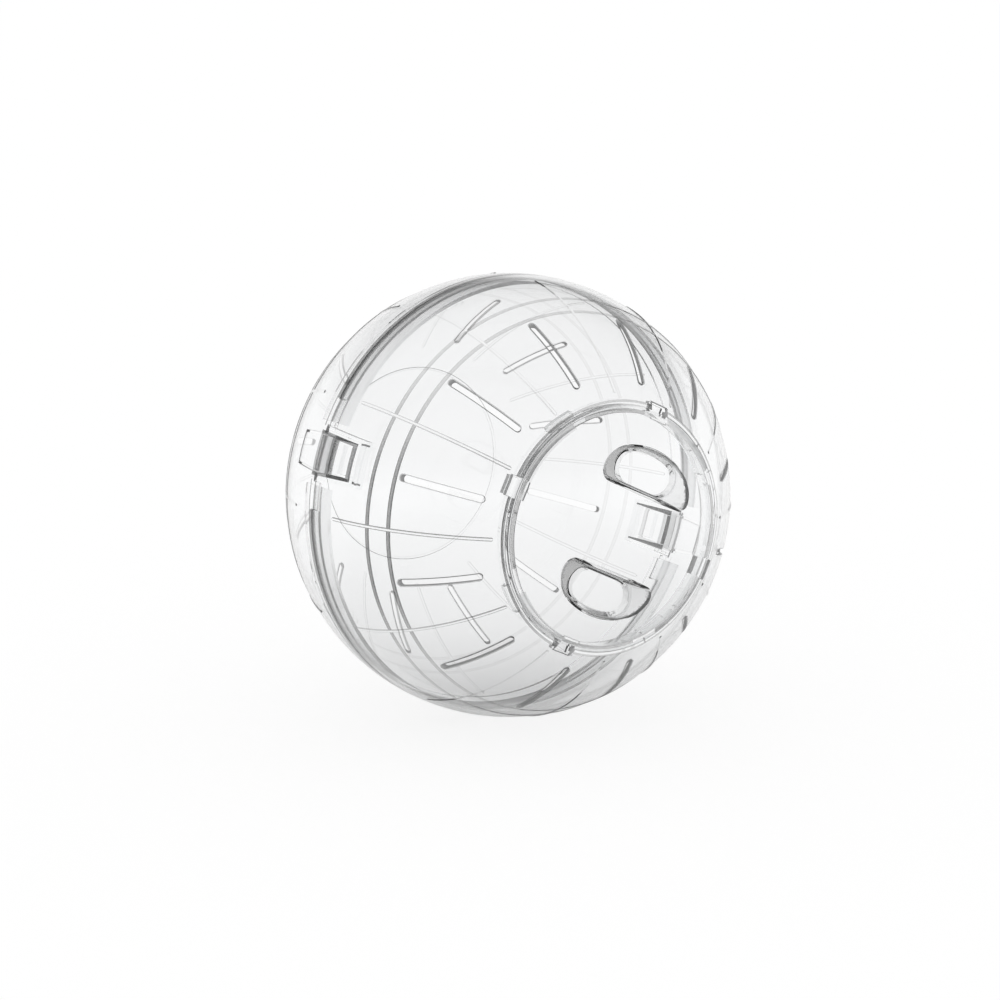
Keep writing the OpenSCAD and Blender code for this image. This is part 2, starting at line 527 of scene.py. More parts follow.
@dataclass
class Section:
    """A closed lathe section whose segments have zones."""

    points: Profile = field(default_factory=list)
    zones: list[Zone] = field(default_factory=list)

    def add(self, points: Profile, zone: Zone = Zone.WALL, after: Zone = Zone.WALL) -> "Section":
        """Adds points to the section.

        Args:
            points: The points.
            zone: Zone of the segments between them.
            after: Zone of the segment that leaves the last one.

        Returns:
            The section itself.
        """
        self.points += points
        self.zones += [zone] * (len(points) - 1) + [after]
        return self

    def outside(
        self, ball_r: float, end: float, hoops: Iterable[Hoop], after: Zone,
        rings: Iterable[tuple[float, float, Zone]] = (),
    ) -> "Section":
        """Adds the outside of a half shell from the seam to a polar angle.

        Args:
            ball_r: Outside radius of the ball.
            end: Polar angle at which the outside ends, in degrees.
            hoops: The hoops, in any order.
            after: Zone of the segment past the end.
            rings: Polar angles and zones of flat rings past the hoops, such as a painted shade line.

        Returns:
            The section itself.
        """
        at = SEAM_POLAR
        for hoop in sorted(hoops, key=attrgetter("polar"), reverse=True):
            half = hoop.half_angle(ball_r)
            self.add(polar_arc(ball_r, at, hoop.polar + half)[:-1])
            across = hoop_arc(ball_r, hoop)[:-1]
            # Dark hoops take painted shade: the hoop zone across their middle and the darker hoop rim
            # zone at their sides.
            rim = len(across) // HOOP_PARTS if hoop.dark else 0
            for i, point in enumerate(across):
                middle = rim <= i < len(across) - rim
                zone = (Zone.HOOP if middle else Zone.HOOP_RIM) if hoop.dark else Zone.WALL
                self.add([point], zone, zone)
            at = hoop.polar - half
        for start, stop, zone in rings:
            self.add(polar_arc(ball_r, at, start)[:-1])
            self.add(polar_arc(ball_r, start, stop)[:-1], zone, zone)
            at = stop
        return self.add(polar_arc(ball_r, at, end), after=after)


def lathe(section: Section, steps: int = 288) -> Solid:
    """Turns a closed section about +Z.

    Args:
        section: The section. Its points on the axis become poles.
        steps: Number of steps round the axis.

    Returns:
        The solid, with the zones of the section.
    """
    profile = section.points
    points = [
        (r * math.cos(a), r * math.sin(a), z)
        for a in (2 * math.pi * j / steps for j in range(steps))
        for r, z in profile
    ]
    count = len(profile)
    faces, zones = [], []
    for i, (start, end) in enumerate(zip(profile, profile[1:] + profile[:1])):
        if start[0] < MERGE and end[0] < MERGE:
            continue
        k = (i + 1) % count
        for j in range(steps):
            a, b = j * count, (j + 1) % steps * count
            faces.append((a + i, b + i, b + k, a + k))
            zones.append(section.zones[i].value)
    return Solid(points, faces, zones)


def loft(rings: list[list[Point]]) -> Solid:
    """Joins rings of equally many points, and closes the first and the last ring.

    Args:
        rings: The rings from one end to the other.

    Returns:
        The solid.
    """
    size = len(rings[0])
    points = [p for ring in rings for p in ring]
    faces: list[tuple[int, ...]] = [tuple(range(size)), tuple(range(len(points) - size, len(points)))]
    for low in range(0, len(points) - size, size):
        for i in range(size):
            k, high = (i + 1) % size, low + size
            faces.append((low + i, low + k, high + k, high + i))
    return Solid(points, faces)


def prism(outline: Profile, low: float, high: float) -> Solid:
    """Returns an outline in the XY plane drawn up from one height to another."""
    return loft([[(x, y, z) for x, y in outline] for z in (low, high)])


def block(start: float, end: float, half: float, low: float, high: float) -> Solid:
    """Returns a box between two distances along X and two heights, twice half wide along Y."""
    return prism([(start, -half), (end, -half), (end, half), (start, half)], low, high)


def shell_patch(
    ends: tuple[float, float], widths: tuple[float, float], radii: tuple[float, float],
    middle: float = 0.0,
) -> Solid:
    """Cuts the part of a shell on +X that lies inside a tapering strip.

    Args:
        ends: Heights at which the strip starts and ends.
        widths: Widths of the strip at its two ends.
        radii: Outside and inside radius of the shell.
        middle: Place of the strip's middle along Y.

    Returns:
        The solid.
    """
    across = max(4, math.ceil(max(widths) / PATCH_GRID))
    along = max(2, math.ceil(abs(ends[1] - ends[0]) / PATCH_GRID))
    points: list[Point] = []
    for radius in radii:
        for i in range(along + 1):
            z = ends[0] + (ends[1] - ends[0]) * i / along
            width = widths[0] + (widths[1] - widths[0]) * i / along
            for j in range(across + 1):
                y = middle + width * (j / across - 0.5)
                points.append((math.sqrt(radius**2 - y**2 - z**2), y, z))
    row = across + 1
    layer = row * (along + 1)
    faces = []
    for i in range(along):
        for j in range(across):
            a = i * row + j
            for base in (0, layer):
                faces.append((base + a, base + a + 1, base + a + row + 1, base + a + row))
    rim = [*range(across)] + [i * row + across for i in range(along)]
    rim += [along * row + j for j in range(across, 0, -1)] + [i * row for i in range(along, 0, -1)]
    faces += [(a, b, b + layer, a + layer) for a, b in zip(rim, rim[1:] + rim[:1])]
    return Solid(points, faces)


def turn_z(angle: float) -> Matrix:
    """Returns a turn about +Z by an angle in degrees."""
    return Matrix.Rotation(math.radians(angle), 4, "Z")


# Node trees


class Nodes:
    """Adds nodes to a tree and links them."""

    def __init__(self, tree: bpy.types.NodeTree) -> None:
        """Keeps the tree."""
        self.tree = tree

    def feed(self, place: bpy.types.NodeSocket, value: object) -> None:
        """Links a socket to an input, or sets the input to a value.

        Args:
            place: The input.
            value: The socket or the value.
        """
        if isinstance(value, bpy.types.NodeSocket):
            self.tree.links.new(value, place)
        else:
            place.default_value = value

    def add(
        self, kind: str, inputs: dict[str | int, object] | None = None, **settings: object
    ) -> bpy.types.Node:
        """Adds a node.

        Args:
            kind: Type of the node.
            inputs: Values or sockets of its inputs, by name or number.
            settings: The node's own settings.

        Returns:
            The node.
        """
        node = self.tree.nodes.new(kind)
        for key, value in settings.items():
            setattr(node, key, value)
        for key, value in (inputs or {}).items():
            self.feed(node.inputs[key], value)
        return node

    def math(self, operation: str, *values: object) -> bpy.types.NodeSocket:
        """Adds a Math node with sockets or numbers as inputs and returns its result."""
        return self.add("ShaderNodeMath", dict(enumerate(values)), operation=operation).outputs[0]

    def vector(self, operation: str, *values: object) -> bpy.types.NodeOutputs:
        """Adds a Vector Math node with sockets or vectors as inputs and returns its outputs."""
        return self.add("ShaderNodeVectorMath", dict(enumerate(values)), operation=operation).outputs

    def step(self, value: bpy.types.NodeSocket, edge: float, blur: float) -> bpy.types.NodeSocket:
        """Returns 1 where a value is above an edge and 0 below it, blurred by a width on both sides."""
        sizes = {"Value": value, "From Min": edge - blur, "From Max": edge + blur}
        return self.add("ShaderNodeMapRange", sizes, interpolation_type="SMOOTHSTEP").outputs["Result"]

    def mix(self, factor: object, first: object, second: object) -> bpy.types.NodeSocket:
        """Mixes two numbers or colours.

        Args:
            factor: Share of the second one.
            first: The first one.
            second: The second one.

        Returns:
            The mixed colour.
        """
        node = self.add("ShaderNodeMix", data_type="RGBA")
        for key, value in (("Factor_Float", factor), ("A_Color", first), ("B_Color", second)):
            self.feed(by_identifier(node.inputs, key), value)
        return by_identifier(node.outputs, "Result_Color")

    def place(self) -> bpy.types.NodeSocket:
        """Adds the object coordinates and returns them."""
        return self.add("ShaderNodeTexCoord").outputs["Object"]


def by_identifier(sockets: Iterable[bpy.types.NodeSocket], identifier: str) -> bpy.types.NodeSocket:
    """Returns the socket that has an identifier."""
    return next(s for s in sockets if s.identifier == identifier)


# Features of the mouldings


@dataclass(frozen=True)
class Feature:
    """One shape that is joined to a moulding or cut from it, repeated round the axis."""

    label: str
    shape: Solid
    how: Joining
    count: int = 1
    turn: float = 0.0
    paint: Paint = Paint()


class MouldingTree(Nodes):
    """Joins and cuts a moulding with a Geometry Nodes tree that the script builds."""

    def __init__(self, name: str) -> None:
        """Starts the tree with its base shape.

        Args:
            name: Name of the tree.
        """
        super().__init__(bpy.data.node_groups.new(name, "GeometryNodeTree"))
        for way in ("INPUT", "OUTPUT"):
            self.tree.interface.new_socket("Moulding", in_out=way, socket_type="NodeSocketGeometry")
        self.values: dict[str, object] = {}
        self.start = self.add("NodeGroupInput")
        self.last = self.start.outputs["Moulding"]

    def socket(self, label: str, kind: str, value: object) -> bpy.types.NodeSocket:
        """Adds a named input to the tree.

        Args:
            label: Name of the input.
            kind: Type of the socket.
            value: What the modifier sets it to.

        Returns:
            Its socket inside the tree.
        """
        made = self.tree.interface.new_socket(label, in_out="INPUT", socket_type=f"NodeSocket{kind}")
        self.values[made.identifier] = value
        return by_identifier(self.start.outputs, made.identifier)

    def join(self, feature: Feature, shape: bpy.types.Object) -> None:
        """Repeats a feature round the axis and joins it to the moulding or cuts it away.

        Args:
            feature: The feature.
            shape: The feature's mesh as an object.
        """
        source = self.socket(feature.label, "Object", shape)
        count = self.socket(f"{feature.label} count", "Int", feature.count)
        turn = self.socket(f"{feature.label} turn", "Float", math.radians(feature.turn))
        index = self.add("GeometryNodeInputIndex").outputs[0]
        angle = self.math("MULTIPLY_ADD", index, self.math("DIVIDE", 2 * math.pi, count), turn)
        copies = self.add("GeometryNodeInstanceOnPoints", {
            "Points": self.add("GeometryNodePoints", {"Count": count}).outputs[0],
            "Instance": self.add("GeometryNodeObjectInfo", {"Object": source}).outputs["Geometry"],
            "Rotation": self.add("ShaderNodeCombineXYZ", {"Z": angle}).outputs[0],
        })
        real = self.add("GeometryNodeRealizeInstances", {0: copies.outputs[0]})
        mix = self.add("GeometryNodeMeshBoolean", operation=feature.how.value, solver="MANIFOLD")
        self.feed(mix.inputs[0 if feature.how is Joining.CUT else 1], self.last)
        self.feed(mix.inputs[1], real.outputs[0])
        self.last = mix.outputs["Mesh"]

    def run(self, base: bpy.types.Object, finish: bpy.types.Material) -> bpy.types.Mesh:
        """Finishes the tree and runs it on the base shape.

        Args:
            base: Object that holds the moulding's base shape.
            finish: Material of the moulding's wall.

        Returns:
            The result as a plain mesh.
        """
        real = self.add("GeometryNodeRealizeInstances", {0: self.last}).outputs[0]
        done = self.add("GeometryNodeSetMaterial", {"Geometry": real, "Material": finish}).outputs[0]
        self.feed(self.add("NodeGroupOutput").inputs[0], done)
        modifier = base.modifiers.new("Moulding", "NODES")
        modifier.node_group = self.tree
        for identifier, value in self.values.items():
            modifier[identifier] = value
        graph = bpy.context.evaluated_depsgraph_get()
        graph.update()
        mesh = bpy.data.meshes.new_from_object(base.evaluated_get(graph), depsgraph=graph)
        base.modifiers.clear()
        return mesh


@dataclass(frozen=True)
class Moulding:
    """The sizes and the material that every moulding is made from."""

    ball: BallSizes
    door: DoorSizes
    latch: LatchSizes
    finish: bpy.types.Material

    def mould(self, name: str, base: Solid, features: list[Feature], paint: Paint = Paint()) -> Solid:
        """Joins a base shape and all its features.

        Args:
            name: Name of the moulding.
            base: Its base shape.
            features: Its features, in order.
            paint: Zones of the base shape, where it has none of its own.

        Returns:
            One closed solid, with the zone of each face.
        """
        tree = MouldingTree(name)
        helpers = [base.to_object(f"{name}_base", paint)]
        for feature in features:
            label = f"{name}_{feature.label.lower().replace(' ', '_')}"
            helpers.append(feature.shape.to_object(label, feature.paint))
            tree.join(feature, helpers[-1])
        mesh = tree.run(helpers[0], self.finish)
        zones = [item.value for item in mesh.attributes[ZONE].data]
        faces = [tuple(p.vertices) for p in mesh.polygons]
        solid = Solid([tuple(v.co) for v in mesh.vertices], faces, zones)
        bpy.data.meshes.remove(mesh)
        for helper in helpers:
            data = helper.data
            bpy.data.objects.remove(helper)
            bpy.data.meshes.remove(data)
        bpy.data.node_groups.remove(tree.tree)
        LOG.info("%s: %d points, %d faces", name, len(solid.points), len(solid.faces))
        return solid


# Finishes


def grey(level: float) -> tuple[float, float, float, float]:
    """Returns a neutral colour."""
    return (level, level, level, 1.0)


@dataclass(frozen=True)
class ClearFinish:
    """A clear moulded plastic and what light does on its way through it.

    The tint counts where light comes in from outside the plastic, and the back tint where it leaves it;
    beyond the plain wall and the recess, both are painted shade where clear plastic shows dark.
    The faint tint counts behind another wall, and the pale one is a painted highlight where a bead
    catches the light.
    """

    name: str
    tint: float
    back: float
    roughness: float = 0.02
    flow: float = 0.02
    ior: float = 1.49
    clear: float = 1.0
    seam: bool = False
    faint: float | None = None
    pale: float | None = None
    cool: Point = (1.0, 1.003, 1.005)

    @property
    def colour(self) -> tuple[float, ...]:
        """The tint as a slightly cool colour."""
        return (*(self.tint * share for share in self.cool), 1.0)


@dataclass(frozen=True)
class PlasticLook:
    """The faint clouds and flow lines in moulded plastic."""

    cloud_scale: float = 18.0
    cloud_detail: float = 2.0
    cloud_shade: float = 0.97
    streak_scale: float = 26.0
    streak_detail: float = 1.0
    streak_height: float = 0.0006


@dataclass(frozen=True)
class PaleLook:
    """Where beads catch the light: high and low on the ball, and where they are seen edge-on."""

    height: float = 0.042
    height_blur: float = 0.022
    edge_on: float = 0.60
    edge_blur: float = 0.14


@dataclass(frozen=True)
class SeamLook:
    """The dark line along the seam, which opens into two thin lines beside the latches."""

    half: float = 0.0021
    inner: float = 0.0014
    outside: float = 0.0893
    blur: float = 0.0001
    band_from: float = 0.0223
    lines_from: float = 0.0107
    across: Point = (0.29237, 0.0, 0.9563)
    tint: float = 0.14
    from_behind: float = 0.25


class ClearPlastic:
    """Builds the materials of the clear plastic round shared shader groups."""

    ONE_WALL = 1.5

    def __init__(self) -> None:
        """Builds the shared groups."""
        self.look = self._look(PlasticLook())
        self.seam = self._seam(SeamLook())

    def _group(self, name: str, sockets: Iterable[tuple[str, str, str]]) -> Nodes:
        """Starts a shader group.

        Args:
            name: Name of the group.
            sockets: Name, direction and type of each input and output.

        Returns:
            What adds nodes to it.
        """
        tree = bpy.data.node_groups.new(name, "ShaderNodeTree")
        for label, way, kind in sockets:
            tree.interface.new_socket(label, in_out=way, socket_type=f"NodeSocket{kind}")
        return Nodes(tree)

    def _look(self, look: PlasticLook) -> bpy.types.ShaderNodeTree:
        """Builds the group that varies the tint, the polish and the flow lines of the plastic.

        Args:
            look: Sizes of its clouds and flow lines.

        Returns:
            The group.
        """
        n = self._group("moulded_clear_plastic", (
            ("Tint", "INPUT", "Color"), ("Roughness", "INPUT", "Float"), ("Flow", "INPUT", "Float"),
            ("Color", "OUTPUT", "Color"), ("Roughness", "OUTPUT", "Float"),
            ("Normal", "OUTPUT", "Vector"),
        ))
        start, end = n.add("NodeGroupInput").outputs, n.add("NodeGroupOutput").inputs
        noise, place = "ShaderNodeTexNoise", n.place()
        clouds = {"Vector": place, "Scale": look.cloud_scale, "Detail": look.cloud_detail}
        cloud = n.add(noise, clouds).outputs["Fac"]
        shades = {"Value": cloud, "To Min": look.cloud_shade, "To Max": 1.0}
        shade = n.add("ShaderNodeMapRange", shades).outputs["Result"]
        tint = {0: start["Tint"], "Scale": shade}
        n.feed(end["Color"], n.add("ShaderNodeVectorMath", tint, operation="SCALE").outputs[0])
        n.feed(end["Roughness"], n.math("MULTIPLY", cloud, start["Roughness"]))
        streaks = {"Vector": place, "Scale": look.streak_scale, "Detail": look.streak_detail}
        streak = n.add(noise, streaks).outputs["Fac"]
        lines = {"Distance": look.streak_height, "Strength": start["Flow"], "Height": streak}
        n.feed(end["Normal"], n.add("ShaderNodeBump", lines).outputs["Normal"])
        return n.tree

    def _seam(self, look: SeamLook) -> bpy.types.ShaderNodeTree:
        """Builds the group whose mask is 1 on the seam's dark line.

        Args:
            look: Sizes of the line.

        Returns:
            The group.
        """
        n = self._group("seam_line", (("Mask", "OUTPUT", "Float"),))
        place = n.place()
        split = n.add("ShaderNodeSeparateXYZ", {0: place}).outputs
        from_seam = n.math("ABSOLUTE", split["Y"])
        from_latch = n.math("ABSOLUTE", n.vector("DOT_PRODUCT", place, look.across)["Value"])
        band = n.math("SUBTRACT", 1.0, n.step(from_seam, look.half, look.blur))
        lines = n.math("MULTIPLY", band, n.step(from_seam, look.inner, look.blur))
        far = n.step(from_latch, look.band_from, look.blur)
        near = n.step(from_latch, look.lines_from, look.blur)
        solid = n.math("MULTIPLY", band, far)
        double = n.math("MULTIPLY", lines, n.math("MULTIPLY", near, n.math("SUBTRACT", 1.0, far)))
        outer = n.math("GREATER_THAN", n.vector("LENGTH", place)["Value"], look.outside)
        mask = n.math("MULTIPLY", outer, n.math("MAXIMUM", solid, double))
        n.feed(n.add("NodeGroupOutput").inputs["Mask"], mask)
        return n.tree

    def catch_light(self, n: Nodes, look: PaleLook) -> bpy.types.NodeSocket:
        """Adds the share by which a bead catches the light.

        Args:
            n: Adds nodes to the material.
            look: Where the light is caught.

        Returns:
            The share.
        """
        place = n.place()
        height = n.math("ABSOLUTE", n.add("ShaderNodeSeparateXYZ", {0: place}).outputs["Z"])
        out = n.vector("NORMALIZE", place)["Vector"]
        edge_on = n.add("ShaderNodeLayerWeight", {"Blend": 0.5, "Normal": out}).outputs["Facing"]
        high = n.step(height, look.height, look.height_blur)
        return n.math("MAXIMUM", high, n.step(edge_on, look.edge_on, look.edge_blur))

    def seamed(self, n: Nodes, colour: bpy.types.NodeSocket, look: SeamLook) -> bpy.types.NodeSocket:
        """Adds the seam's dark line, which is fainter from behind.

        Args:
            n: Adds nodes to the material.
            colour: Colour of the plastic.
            look: Tint of the line.

        Returns:
            The colour with the line.
        """
        mask = n.add("ShaderNodeGroup", node_tree=self.seam).outputs["Mask"]
        behind = n.add("ShaderNodeNewGeometry").outputs["Backfacing"]
        share = n.math("SUBTRACT", 1.0, n.math("MULTIPLY", behind, 1.0 - look.from_behind))
        return n.mix(n.math("MULTIPLY", mask, share), colour, grey(look.tint))

    def material(self, finish: ClearFinish) -> bpy.types.Material:
        """Builds the material of one finish.

        Args:
            finish: The finish.

        Returns:
            The material.
        """
        made = bpy.data.materials.new(finish.name)
        made.use_nodes = True
        made.diffuse_color = (*finish.colour[:3], VIEWPORT_ALPHA)
        n = Nodes(made.node_tree)
        tint = finish.colour
        # Painted light and shade over the tint: the pale highlight where a bead catches the light, the
        # faint tint behind another wall, and the back tint seen from inside the plastic.
        if finish.pale is not None:
            tint = n.mix(self.catch_light(n, PaleLook()), tint, grey(finish.pale))
        if finish.faint is not None:
            depth = n.add("ShaderNodeLightPath").outputs["Transmission Depth"]
            tint = n.mix(n.math("GREATER_THAN", depth, self.ONE_WALL), tint, grey(finish.faint))
        if finish.back != finish.tint:
            facing = n.add("ShaderNodeNewGeometry").outputs["Backfacing"]
            tint = n.mix(facing, tint, grey(finish.back))
        values = {"Tint": tint, "Roughness": finish.roughness, "Flow": finish.flow}
        look = n.add("ShaderNodeGroup", values, node_tree=self.look).outputs
        colour = self.seamed(n, look["Color"], SeamLook()) if finish.seam else look["Color"]
        shader = n.tree.nodes["Principled BSDF"].inputs
        for label, value in (
            ("Base Color", colour), ("Roughness", look["Roughness"]), ("Normal", look["Normal"]),
            ("Metallic", 0.0), ("Transmission Weight", finish.clear), ("IOR", finish.ior),
        ):
            n.feed(shader[label], value)
        return made


def read(items: bpy.types.bpy_prop_collection, key: str, kind: type, width: int = 1) -> np.ndarray:
    """Reads one value of every item of a mesh.

    Args:
        items: The items.
        key: Name of the value.
        kind: Type of the value.
        width: How many numbers it has.

    Returns:
        The values, with a row for each item where they have more than one number.
    """
    values = np.empty(len(items) * width, kind)
    items.foreach_get(key, values)
    return values.reshape(-1, width) if width > 1 else values


@dataclass(frozen=True)
class Surfacer:
    """Gives a moulding its true normals and the finishes of its zones, most of them painted shade.

    Faces lie on a sphere where their corners are near one of the radii and they face along it.
    """

    radii: tuple[float, ...]
    ball_r: float
    near: float = 0.03
    along: float = 0.97
    bead_depth: float = 0.5
    bead_facing: float = 0.2
    sharp: float = 28.0
    beads: tuple[Zone, ...] = (Zone.HOOP, Zone.HOOP_RIM, Zone.RIB, Zone.VENT)

    def normals(self, mesh: bpy.types.Mesh, zone: np.ndarray) -> np.ndarray:
        """Works out the normals, with beads as round as the ball itself, so that they refract as the
        plain wall does and show as lines only by the painted shade of their zones.

        Args:
            mesh: The moulding's mesh in its own frame, in millimetres.
            zone: Zone of each face.

        Returns:
            The normal of each face corner, zero where Blender's own is kept.
        """
        faces = mesh.polygons
        points, middle = read(mesh.vertices, "co", float, 3), read(faces, "center", float, 3)
        corner = read(mesh.loops, "vertex_index", np.int32)
        start, total = read(faces, "loop_start", np.int32), read(faces, "loop_total", np.int32)
        length, away = np.linalg.norm(points, axis=1), np.linalg.norm(middle, axis=1)
        low = np.minimum.reduceat(length[corner], start)
        high = np.maximum.reduceat(length[corner], start)
        facing = np.einsum("ij,ij->i", read(faces, "normal", float, 3), middle / away[:, None])
        face_of = np.repeat(np.arange(len(total)), total)
        normals = np.zeros((len(corner), 3))
        out = points / np.maximum(length, TINY)[:, None]
        for radius in self.radii:
            on = (np.abs(low - radius) < self.near) & (np.abs(high - radius) < self.near)
            pick = (on & (np.abs(facing) > self.along))[face_of]
            normals[pick] = out[corner[pick]] * np.sign(facing)[face_of[pick]][:, None]
        beads = np.isin(zone, [kind.value for kind in self.beads]) & (facing > self.bead_facing)
        pick = (beads & (away > self.ball_r - self.bead_depth))[face_of]
        normals[pick] = out[corner[pick]]
        return normals

    def dress(
        self, name: str, solid: Solid, placing: Matrix, finishes: dict[Zone, bpy.types.Material]
    ) -> bpy.types.Object:
        """Finishes the piece of a moulding, in its place in metres.

        Args:
            name: Name of the piece.
            solid: The moulding.
            placing: Turn from its own frame to the part's frame.
            finishes: Material of each zone.

        Returns:
            The piece.
        """
        obj = solid.to_object(name)
        mesh = obj.data
        zone = read(mesh.attributes[ZONE].data, "value", np.int32)
        normals = self.normals(mesh, zone)
        for kind in Zone:
            mesh.materials.append(finishes[kind])
        mesh.polygons.foreach_set("material_index", zone)
        mesh.attributes.remove(mesh.attributes[ZONE])
        mesh.polygons.foreach_set("use_smooth", np.ones(len(mesh.polygons), bool))
        mesh.transform(placing @ Matrix.Scale(MILLIMETRE, 4))
        mesh.set_sharp_from_angle(angle=math.radians(self.sharp))
        mesh.normals_split_custom_set((normals @ np.array(placing.to_3x3()).T).tolist())
        mesh.update()
        return obj


# The mouldings


@dataclass(frozen=True)
class HalfShell(Moulding):
    """One vented half shell, with or without the door opening."""

    with_door: bool
    round_steps: int = 16
    nose_steps: int = 6
    rib_steps: int = 60

    def base(self) -> Solid:
        """Turns the shell with its hoops, and with the collar where the half has the door.

        Returns:
            The plain shell.
        """
        b, d = self.ball, self.door
        hoops, section, start = [b.seam_hoop, b.vent_hoop], Section(), 0.0
        if self.with_door:
            # A flat ring on the outside over the collar's outer wall takes the dark hoop zone: painted
            # shade where the collar shows through the shell.
            ring = (polar_at(b.ball_r, d.collar_r + way * d.collar_shade_w / 2) for way in (1, -1))
            section.outside(b.ball_r, d.hole_polar, hoops, Zone.EDGE, ((*ring, Zone.HOOP),))
            # Bands of edge zone at the top and the foot of the opening's wall are painted dark lines.
            section.add([(d.hole_r, on_sphere(b.ball_r, d.hole_r) - d.edge_line)])
            section.add([(d.hole_r, d.collar_top + d.edge_line)], after=Zone.EDGE)
            section.add([(d.hole_r, d.collar_top), (d.collar_in, d.collar_top)])
            section.add([(d.collar_in, d.collar_z), (d.collar_r, d.collar_z)], Zone.RECESS, Zone.RECESS)
            start = polar_at(b.in_r, d.collar_r)
        else:
            section.outside(b.ball_r, 0.0, [*hoops, b.pole_hoop], Zone.WALL)
        return lathe(section.add(polar_arc(b.in_r, start, SEAM_POLAR), after=Zone.EDGE))

    def vent(self, grow: float, slope: float) -> Solid:
        """Makes the cutter of a vent slot on the meridian of +X.

        Args:
            grow: How far it is grown on the outside of the shell.
            slope: How far its end beside the hoop slopes inwards.

        Returns:
            The cutter.
        """
        b = self.ball
        start = self.door.hole_polar + b.arc_angle(b.vent_land)
        end = b.vent_hoop.polar - b.arc_angle(b.vent_hoop_land)
        half = b.ball_r * math.sin(math.radians((end - start) / 2)) - b.vent_w / 2
        tip, r = half + b.vent_w / 2, b.vent_w / 2 + grow
        turns = [math.pi * (i / self.round_steps - 0.5) for i in range(self.round_steps + 1)]
        rings = []
        for z, inset in (
            (b.in_r - b.clear, slope), (on_sphere(b.in_r, tip), slope),
            (on_sphere(b.ball_r, tip), 0.0), (b.reach, 0.0),
        ):
            rings.append([
                (side * (half + r * math.cos(a)) - shift, side * r * math.sin(a), z)
                for side, shift in ((1, inset), (-1, 0.0)) for a in turns
            ])
        return loft(rings).turned(Matrix.Rotation(math.radians((start + end) / 2), 4, "Y"))

    def vent_edge(self) -> Solid:
        """Makes the thin step round a vent slot, whose floor takes the vent zone's painted shade line.

        Returns:
            The cutter.
        """
        b = self.ball
        core = lathe(Section().add(polar_arc(b.ball_r - b.vent_step, 0.0, 180.0), Zone.VENT, Zone.VENT))
        inside = Feature("Inside", core, Joining.CUT)
        return self.mould("vent_edge", self.vent(b.vent_edge, 0.0), [inside])

    def rib(self) -> Solid:
        """Makes a rib on the meridian of +X, with round ends.

        Returns:
            The rib.
        """
        b = self.ball
        start = self.door.hole_polar + b.arc_angle(b.rib_land)
        end, nose = SEAM_POLAR - b.arc_angle(b.rib_seam_land), b.arc_angle(b.rib_w / 2)
        turns = [math.pi / (2 * self.nose_steps) * i for i in range(1, self.nose_steps)]
        straight = [(end - start - 2 * nose) * i / self.rib_steps for i in range(self.rib_steps + 1)]
        places = [(start + nose * (1 - math.cos(a)), math.sin(a)) for a in turns]
        places += [(start + nose + along, 1.0) for along in straight]
        places += [(end - nose * (1 - math.cos(a)), math.sin(a)) for a in reversed(turns)]
        low, high = b.ball_r - b.weld, b.ball_r + b.rib_h
        rings = []
        for polar, share in places:
            a, half = math.radians(polar), b.rib_w / 2 * share
            top = half * b.rib_top_w / b.rib_w
            side = [(low, half), (b.ball_r, half), (high, top)]
            outline = [(low, -half), *side, (high, -top), (b.ball_r, -half)]
            rings.append([(r * math.sin(a), y, r * math.cos(a)) for r, y in outline])
        return loft(rings)

    def recess(self, start: float, grow: float, radii: tuple[float, float]) -> Solid:
        """Makes a block of the shape of the other half's latch head.

        Args:
            start: Height at which it starts.
            grow: How far it is grown past the head.
            radii: Outside and inside radius of the block.

        Returns:
            The block.
        """
        s = self.latch
        widths = (s.head_w + 2 * grow, s.head_tip_w + 2 * grow)
        return shell_patch((start, s.head_l + grow), widths, radii)

    def recess_beads(self) -> Solid:
        """Makes the low beads under the recess, along its two sides and along the seam.

        Returns:
            The three beads.
        """
        s = self.latch
        radii = (s.recess_in + s.bead_t, s.recess_in - s.bead_t)
        out = s.recess_half - s.bead_w
        widths = (s.bead_w, s.bead_w / s.bead_taper)
        side = shell_patch((s.bead_w, s.head_l), widths, radii, out - s.bead_w / 2)
        width = 2 * (out - s.bar_inset * s.bead_w)
        return side.doubled().joined(shell_patch((s.bead_w, 2 * s.bead_w), (width, width), radii))

    def strap_space(self) -> Solid:
        """Makes the opening for the half's own tongue, on the side of -X.

        Returns:
            The cutter.
        """
        s, b = self.latch, self.ball
        widths = (s.strap_w + 2 * s.relief_w, s.strap_root_w + 2 * s.relief_w)
        patch = shell_patch((-b.over, s.strap_l + s.root_gap), widths, (b.reach, b.in_r - b.weld))
        return patch.turned(turn_z(180))

    def tabs(self) -> Solid:
        """Makes the two locating tabs on the side of -X.

        Returns:
            Both tabs.
        """
        s, b = self.latch, self.ball
        radii = (b.ball_r - MERGE, b.in_r + MERGE)
        tab = shell_patch((-s.tab_l, b.weld), (s.tab_w, s.tab_w), radii, s.tab_start + s.tab_w / 2)
        return tab.doubled().turned(turn_z(180))

    def tab_notches(self) -> Solid:
        """Makes the two notches for the other half's tabs.

        Returns:
            The cutter.
        """
        s, b = self.latch, self.ball
        width = s.tab_w + 2 * s.tab_gap
        radii = (b.reach, b.in_r - s.lip_gap / 2)
        ends = (-b.over, s.tab_l + s.tab_gap)
        return shell_patch(ends, (width, width), radii, s.tab_start + s.tab_w / 2).doubled()

    def catch(self) -> Solid:
        """Makes the catch that holds the other half's tongue.

        Returns:
            The catch.
        """
        s, b = self.latch, self.ball
        end = s.window_end - s.catch_gap
        start = end - s.catch_l
        low, high = s.recess_in + b.weld, s.head_out - b.weld / 2
        corners = [(low, start), (s.head_in, start), (high, end - s.head_t), (high, end), (low, end)]
        width = s.head_tip_w - 2 * s.window_bar - 2 * s.head_gap
        return loft([[(on_sphere(r, z), y, z) for r, z in corners] for y in (-width / 2, width / 2)])

